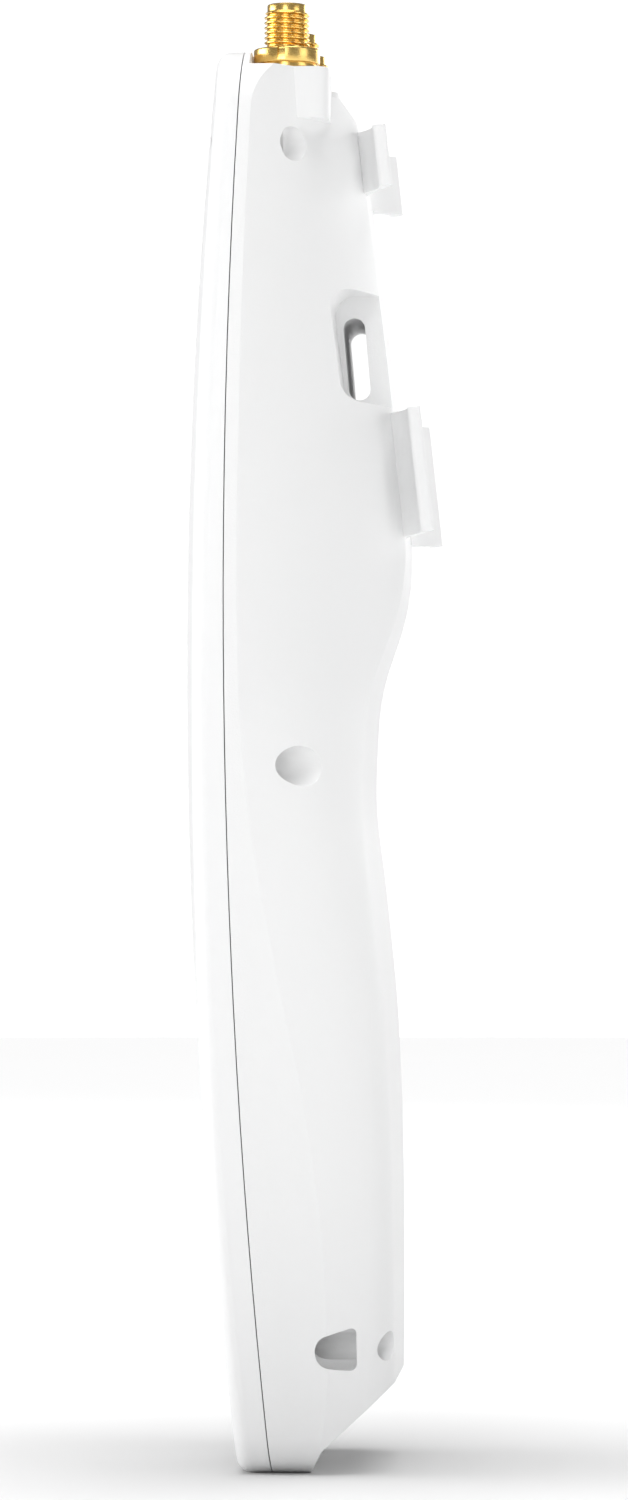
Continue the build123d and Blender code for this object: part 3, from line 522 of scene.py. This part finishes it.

# %% [markdown]
# ## The studio
# The object stands on a white table, whose colour is painted grey near the object as its shadow. A
# wide overhead light keeps the table evenly bright, and four soft lamps at a low angle light the
# sides. Polished gold only looks like gold when it has
# something dark to reflect, so the surroundings that it sees are a dim gradient, while the camera
# sees plain white behind the object.

# %% Floor
def white_floor(radius=3.0, sides=64):
    """A round white table top whose colour is painted grey within 140 mm of the object: a painted
    shadow under it.
    """
    mesh = bpy.data.meshes.new("white_floor")
    table = bpy.data.objects.new("white_floor", mesh)
    bpy.context.scene.collection.objects.link(table)
    form = bmesh.new()
    bmesh.ops.create_circle(form, cap_ends=True, segments=sides, radius=radius)
    form.to_mesh(mesh)
    form.free()
    finish = Finish("floor_white_painted_shadow")
    cloud = finish.noise(3, 2)
    near = {"Vector": finish.place((7, 7, 7))}
    # Painted shadow: the table's colour greys from 0.96 to 0.60 towards the object, standing in
    # for its shadow.
    middle = finish.node("ShaderNodeTexGradient", {"gradient_type": "SPHERICAL"}, near)
    mesh.materials.append(finish.surface({
        "Base Color": finish.blend(middle, (0.96, 0.96, 0.96), (0.60, 0.60, 0.60)),
        "Roughness": 0.7 + 0.1 * cloud,
    }))
    return table


floor = white_floor()
print("floor", tuple(round(v, 2) for v in floor.dimensions))

# %% Lamps, by how much light each one brings to the object
MIDDLE = Vector((0, 0, 0.1))


def softbox(name, azimuth, elevation, distance, size, irradiance):
    """Area lamp aimed at the middle of the object. Azimuth runs from +X towards +Y."""
    lamp = bpy.data.lights.new(name, "AREA")
    lamp.shape = "RECTANGLE"
    lamp.size, lamp.size_y = size
    lamp.energy = irradiance * math.pi * distance**2
    around, up = math.radians(azimuth), math.radians(elevation)
    toward = Vector((
        math.cos(around) * math.cos(up), math.sin(around) * math.cos(up), math.sin(up)
    ))
    holder = bpy.data.objects.new(name, lamp)
    holder.location = MIDDLE + toward * distance
    holder.rotation_euler = (-toward).to_track_quat("-Z", "Y").to_euler()
    bpy.context.scene.collection.objects.link(holder)
    return holder


def overhead_light(tilt, spread, strength):
    """A distant light, so that the whole floor is equally bright."""
    sun = bpy.data.lights.new("overhead", "SUN")
    sun.angle = math.radians(spread)
    sun.energy = strength
    holder = bpy.data.objects.new("overhead", sun)
    holder.rotation_euler = (0, math.radians(tilt), 0)
    bpy.context.scene.collection.objects.link(holder)
    return holder


softbox("camera_side", -6, 14, 1.6, (0.5, 0.7), 0.50)
softbox("radome_side", -92, 12, 1.3, (0.9, 0.5), 1.50)
softbox("rail_side", 62, 12, 1.3, (0.6, 0.5), 0.28)
softbox("far_side", 150, 12, 1.4, (0.9, 0.5), 0.70)
overhead_light(8, 60, 2.62)
print("lamps set")

# %% What surrounds the object
SEEN_STRENGTH = 1.1
AROUND_STRENGTH = 0.25
SKY = [
    (0.0, (0.55, 0.55, 0.55)),
    (0.46, (0.60, 0.60, 0.60)),
    (0.54, (0.95, 0.95, 0.96)),
    (1.0, (1.0, 1.0, 1.0)),
]


def set_stops(ramp, stops):
    """Places the colours of a ramp."""
    while len(ramp.elements) < len(stops):
        ramp.elements.new(0.5)
    for element, (place, colour) in zip(ramp.elements, stops):
        element.position = place
        element.color = (*colour, 1)


def studio_world():
    """White where the camera looks, and a dim gradient for everything the light reaches."""
    world = bpy.data.worlds.new("studio_world")
    bpy.context.scene.world = world
    world.use_nodes = True
    tree = world.node_tree
    tree.nodes.clear()
    output = tree.nodes.new("ShaderNodeOutputWorld")
    seen = tree.nodes.new("ShaderNodeBackground")
    seen.inputs["Color"].default_value = (1, 1, 1, 1)
    seen.inputs["Strength"].default_value = SEEN_STRENGTH
    around = tree.nodes.new("ShaderNodeBackground")
    around.inputs["Strength"].default_value = AROUND_STRENGTH
    direction = tree.nodes.new("ShaderNodeTexCoord")
    split = tree.nodes.new("ShaderNodeSeparateXYZ")
    ramp = tree.nodes.new("ShaderNodeValToRGB")
    set_stops(ramp.color_ramp, SKY)
    shift = tree.nodes.new("ShaderNodeMath")
    shift.operation = "MULTIPLY_ADD"
    shift.inputs[1].default_value = 0.5
    shift.inputs[2].default_value = 0.5
    path = tree.nodes.new("ShaderNodeLightPath")
    mix = tree.nodes.new("ShaderNodeMixShader")
    links = tree.links
    links.new(direction.outputs["Generated"], split.inputs[0])
    links.new(split.outputs["Z"], shift.inputs[0])
    links.new(shift.outputs[0], ramp.inputs[0])
    links.new(ramp.outputs["Color"], around.inputs["Color"])
    links.new(path.outputs["Is Camera Ray"], mix.inputs[0])
    links.new(around.outputs[0], mix.inputs[1])
    links.new(seen.outputs[0], mix.inputs[2])
    links.new(mix.outputs[0], output.inputs["Surface"])
    return world


studio_world()
bpy.context.scene.view_settings.view_transform = "Standard"
print("world set")

# %% [markdown]
# ## The camera
# The view is from the side, three degrees towards the back, with a long lens about 0.9 m away.
# The camera is level with the lower half of the case and tilts up slightly, so the top of the
# case is seen from a little below: that is why the far jacks show lower than the near one.

# %% Camera
DISTANCE = 0.9
YAW = math.radians(3)
EYE_HEIGHT = 0.0797
LENS = 149.256
UPWARD_SLOPE = 0.0257276
TILT = math.atan(UPWARD_SLOPE)

camera_data = bpy.data.cameras.new("camera")
camera_data.sensor_width = 36
camera_data.lens = LENS
camera_data.clip_start = 0.05
camera = bpy.data.objects.new("camera", camera_data)
camera.location = (DISTANCE * math.cos(YAW), DISTANCE * math.sin(YAW), EYE_HEIGHT)
look = Vector((-math.cos(YAW) * math.cos(TILT), -math.sin(YAW) * math.cos(TILT), math.sin(TILT)))
camera.rotation_euler = look.to_track_quat("-Z", "Y").to_euler()
bpy.context.scene.collection.objects.link(camera)
bpy.context.scene.camera = camera
print("camera", tuple(round(v, 4) for v in camera.location), "lens", round(camera_data.lens, 1))
